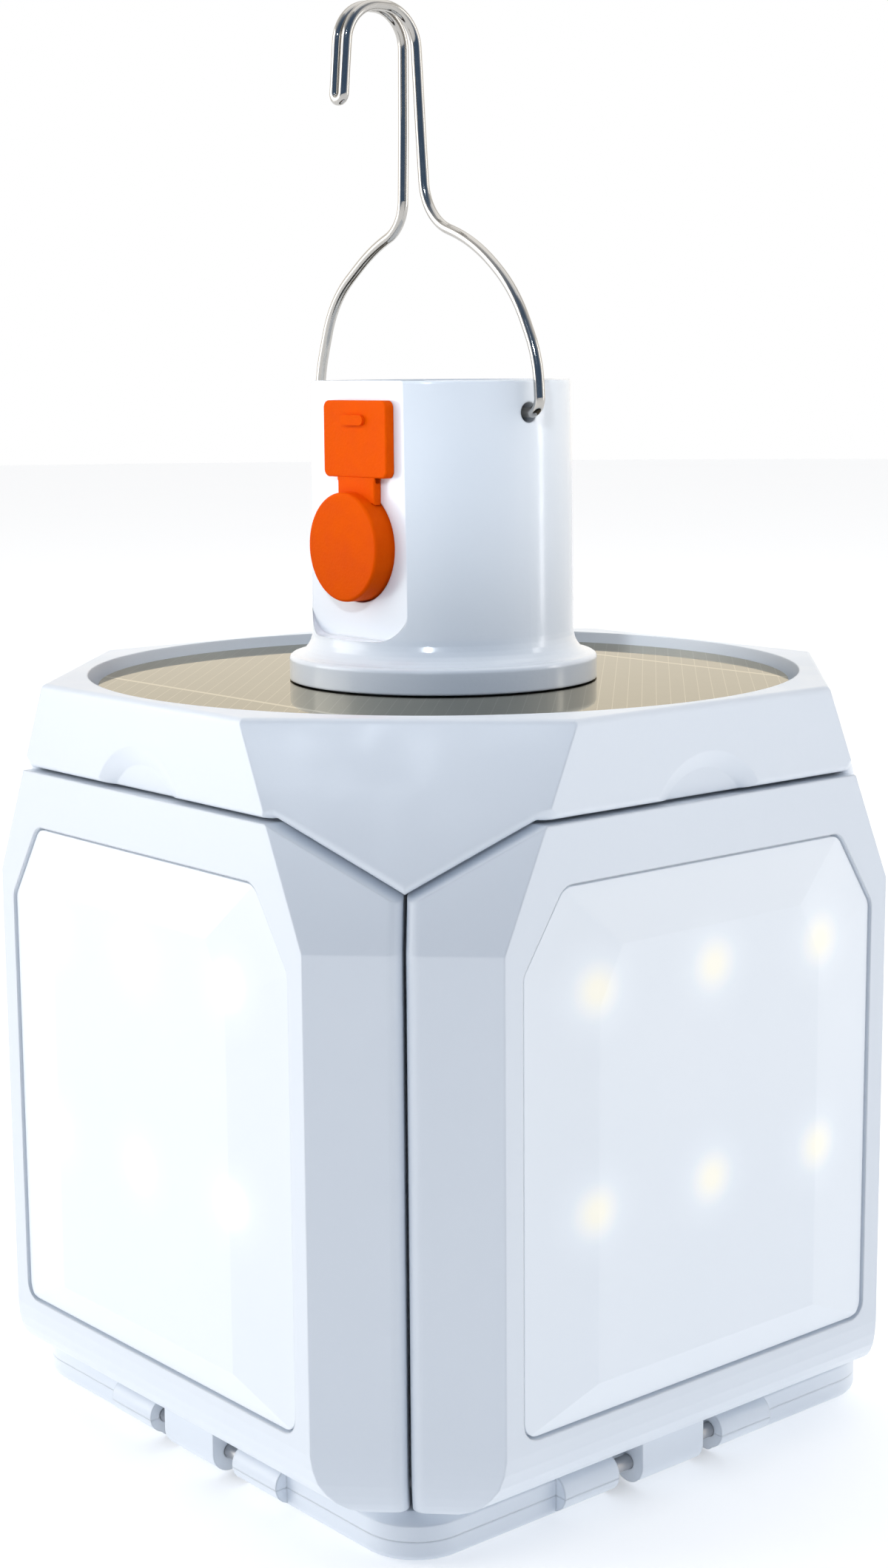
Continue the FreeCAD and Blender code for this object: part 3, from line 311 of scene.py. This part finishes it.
WHITE = plastic("shell_plastic", (0.835, 0.885, 0.945), (0.815, 0.865, 0.93), 0.34)
# The neck's plastic is glossier, with a clear coat. Its colour is painted a little lighter than the
# shell's to lift the neck's shade.
NECK = plastic("neck_plastic_painted_lighter", (0.845, 0.895, 0.95), (0.825, 0.875, 0.935), 0.22, 0.5)
CORE = plastic("core_plastic", (0.79, 0.83, 0.87), (0.75, 0.79, 0.84), 0.5)
BLACK = plastic("black_plastic", (0.030, 0.030, 0.034), (0.018, 0.018, 0.021), 0.45)
ORANGE = silicone("orange_silicone")
WIRE = steel("wire_steel_bright", (0.50, 0.485, 0.46), 0.10, 0.04)
SCREW = steel("screw_steel_plain", (0.52, 0.52, 0.53), 0.32)
MAGNET = steel("nickel_plate", (0.66, 0.65, 0.63), 0.2)
WINDOWS = {"Y": lit_window("lit_window_x_side", "Y"), "X": lit_window("lit_window_y_side", "X")}
UNDER_WINDOW = base_window("underside_window")
CHIP = led_chip("led_phosphor")
WHITE_BOARD = board("white_board", (0.80, 0.81, 0.79), (0.72, 0.73, 0.72))
GREEN_BOARD = board("green_board", (0.03, 0.20, 0.085), (0.02, 0.13, 0.055))
CELLS = solar_cells("solar_cells")
FILM = wrap_film("cell_film")


# ---- pieces ---------------------------------------------------------------------------------


def rounded_outline(left, right, front, back, radius):
    """Points round a rectangle with rounded corners, seen from above."""
    points = []
    corners = ((right - radius, back - radius), (left + radius, back - radius),
               (left + radius, front + radius), (right - radius, front + radius))
    for quarter, (x, y) in enumerate(corners):
        for step in range(CORNER_STEPS + 1):
            angle = (quarter + step / CORNER_STEPS) * math.pi / 2
            points.append((x + radius * math.cos(angle), y + radius * math.sin(angle)))
    return points


def dress(node, material):
    """Give a CAD node that stays its material."""
    for slot in frame["nodes"][node].material_slots:
        slot.material = material


def dress_all():
    for side in SIDES:
        window = WINDOWS["Y" if side in PANEL_X_SIDES else "X"]
        for part, material in (
                ("frame", WHITE), ("lens", window), ("board", WHITE_BOARD), ("leds", CHIP),
                ("back", CORE), ("screws", SCREW), ("pin", SCREW), ("strike", SCREW)):
            dress(f"{side}_{part}", material)
    for node, material in (
            ("base_frame", WHITE), ("base_cover", WHITE), ("base_lens", UNDER_WINDOW),
            ("base_screws", SCREW), ("base_board", WHITE_BOARD), ("base_leds", CHIP),
            ("core_rear", CORE), ("core_front", CORE), ("battery", FILM), ("battery_contacts", MAGNET),
            ("main_board", GREEN_BOARD), ("board_chips", BLACK), ("cap", WHITE), ("cap_chassis", CORE),
            ("latch_magnets", MAGNET), ("cap_screws", SCREW), ("solar_board", WHITE_BOARD),
            ("solar_face", CELLS), ("neck", NECK), ("neck_lid", NECK), ("neck_board", GREEN_BOARD),
            ("charge_port", MAGNET), ("mode_switch", BLACK), ("power_button", ORANGE),
            ("port_flap", ORANGE), ("strap_root", ORANGE), ("bail_wire", WIRE)):
        dress(node, material)


def joint_place(name):
    """A point on a joint's axis."""
    return next(joint["pos_m"] for joint in frame["joints"] if joint["name"] == name)


def add_strap():
    """The strap between the button and the port cover, reaching up past the cover's hinge.

    Its lower end follows the button's round edge, and its upper end is inside the cover."""
    root_low, root_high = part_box("strap_root")
    button_low, button_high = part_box("power_button")
    hinge = joint_place("port_cover_hinge")
    button_x = (button_low.x + button_high.x) / 2
    button_z = (button_low.z + button_high.z) / 2
    clear_r = BUTTON_R + STRAP_CLEAR
    top = hinge[2] + STRAP_TOP
    front = root_low.y - STRAP_PROUD
    outline = rounded_outline(root_low.x, root_high.x, front, root_high.y, STRAP_ROUND)
    shape = bmesh.new()
    rows = []
    for step in range(STRAP_ROWS + 1):
        row = []
        for x, y in outline:
            low = button_z + math.sqrt(clear_r ** 2 - (x - button_x) ** 2)
            row.append(shape.verts.new((x, y, low + (top - low) * step / STRAP_ROWS)))
        rows.append(row)
    count = len(outline)
    for lower, upper in zip(rows, rows[1:]):
        for index in range(count):
            following = (index + 1) % count
            shape.faces.new((lower[index], lower[following], upper[following], upper[index]))
    shape.faces.new(list(reversed(rows[0])))
    shape.faces.new(rows[-1])
    bmesh.ops.recalc_face_normals(shape, faces=shape.faces)
    mesh = bpy.data.meshes.new("strap")
    shape.to_mesh(mesh)
    shape.free()
    mesh.shade_smooth()
    mesh.set_sharp_from_angle(angle=math.radians(50))
    mesh.materials.append(ORANGE)
    strap = bpy.data.objects.new("strap", mesh)
    bpy.context.scene.collection.objects.link(strap)
    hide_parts("strap_root")
    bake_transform(strap)


dress_all()
add_strap()


# ---- floor, light and camera ----------------------------------------------------------------

def make_floor():
    """A wide round pale floor."""
    material, shader, nodes = new_material("pale_floor", Roughness=0.85, IOR=1.3)
    nodes.link(nodes.mix(nodes.noise(6.0), (0.92, 0.93, 0.94), (0.94, 0.945, 0.95)),
               shader.inputs["Base Color"])
    shader.inputs["Emission Color"].default_value = (1.0, 1.0, 1.0, 1.0)
    shader.inputs["Emission Strength"].default_value = FLOOR_GLOW
    shape = bmesh.new()
    bmesh.ops.create_circle(shape, cap_ends=True, segments=96, radius=FLOOR_R)
    mesh = bpy.data.meshes.new("floor")
    shape.to_mesh(mesh)
    shape.free()
    mesh.materials.append(material)
    floor = bpy.data.objects.new("floor", mesh)
    floor.location.z = cad_low[2] - FLOOR_GAP
    bpy.context.scene.collection.objects.link(floor)


def make_sky():
    """A plain white backdrop. Its light is warm and bright low down behind the lantern, and dim and
    cool in front of it."""
    world = bpy.data.worlds.new("studio")
    world.use_nodes = True
    bpy.context.scene.world = world
    nodes = Nodes(world.node_tree)
    back = world.node_tree.nodes["Background"]
    direction = nodes.add("ShaderNodeTexCoord").outputs["Generated"]
    along = nodes.add("ShaderNodeVectorMath", operation="DOT_PRODUCT")
    nodes.link(direction, along.inputs[0])
    along.inputs[1].default_value = VIEW_DIRECTION
    ahead = nodes.map_range(along.outputs["Value"], -0.75, 0.25)
    high = nodes.map_range(nodes.split(direction)[2], 0.25, 0.60)
    behind = nodes.mix(high, (1.14, 1.09, 1.02), (0.93, 0.91, 0.88))
    light = nodes.mix(ahead, (0.085, 0.14, 0.23), behind)
    seen = nodes.add("ShaderNodeLightPath").outputs["Is Camera Ray"]
    nodes.link(nodes.mix(seen, light, (1.0, 1.0, 1.0)), back.inputs["Color"])
    back.inputs["Strength"].default_value = 1.0


def add_panel_light(name, at, target, size, watts, colour):
    lamp = bpy.data.lights.new(name, "AREA")
    lamp.shape = "RECTANGLE"
    lamp.size, lamp.size_y = size
    lamp.energy = watts
    lamp.color = colour
    light = bpy.data.objects.new(name, lamp)
    light.location = at
    light.rotation_euler = (Vector(target) - Vector(at)).to_track_quat("-Z", "Y").to_euler()
    bpy.context.scene.collection.objects.link(light)


def make_lights():
    centre = (0.0, 0.0, 0.08)
    add_panel_light("soft_left", (-0.95, -1.05, 0.50), centre, (1.0, 1.0), 8.4, (1.0, 0.99, 0.975))
    add_panel_light("soft_right", (1.15, 0.95, 0.45), centre, (0.8, 0.8), 0.9, (1.0, 0.99, 0.98))
    add_panel_light("strip_right", (0.78, 1.16, 0.35), centre, (0.14, 1.2), 2.4, (1.0, 0.99, 0.98))
    add_panel_light("soft_top", (0.0, 0.3, 1.4), centre, (1.4, 1.4), 3.4, (1.0, 1.0, 1.0))


def add_neck_light():
    """A narrow spot on the neck, which the dark solar ring keeps the floor's light from."""
    lamp = bpy.data.lights.new("neck_spot", "SPOT")
    at = Vector((0.55, -0.75, 0.62))
    target = Vector((0.0, 0.0, 0.140))
    lamp.energy = 19.0
    lamp.color = (0.88, 0.94, 1.0)
    lamp.shadow_soft_size = 0.04
    lamp.spot_size = 2 * math.atan(NECK_LIGHT_R / (at - target).length)
    lamp.spot_blend = 0.35
    light = bpy.data.objects.new("neck_spot", lamp)
    light.location = at
    light.rotation_euler = (target - at).to_track_quat("-Z", "Y").to_euler()
    bpy.context.scene.collection.objects.link(light)


def make_camera():
    lens = bpy.data.cameras.new("camera")
    lens.sensor_fit = "VERTICAL"
    lens.sensor_height = 36.0
    lens.lens = CAMERA_LENS
    lens.clip_start = 0.01
    camera = bpy.data.objects.new("camera", lens)
    camera.matrix_world = (Matrix.Translation(CAMERA_AT) @ Matrix.Rotation(CAMERA_TURN, 4, "Z")
                           @ Matrix.Rotation(math.pi / 2 - CAMERA_DOWN, 4, "X")
                           @ Matrix.Rotation(CAMERA_ROLL, 4, "Z"))
    bpy.context.scene.collection.objects.link(camera)
    bpy.context.scene.camera = camera


make_floor()
make_sky()
make_lights()
add_neck_light()
make_camera()
bpy.context.scene.view_settings.view_transform = "Standard"
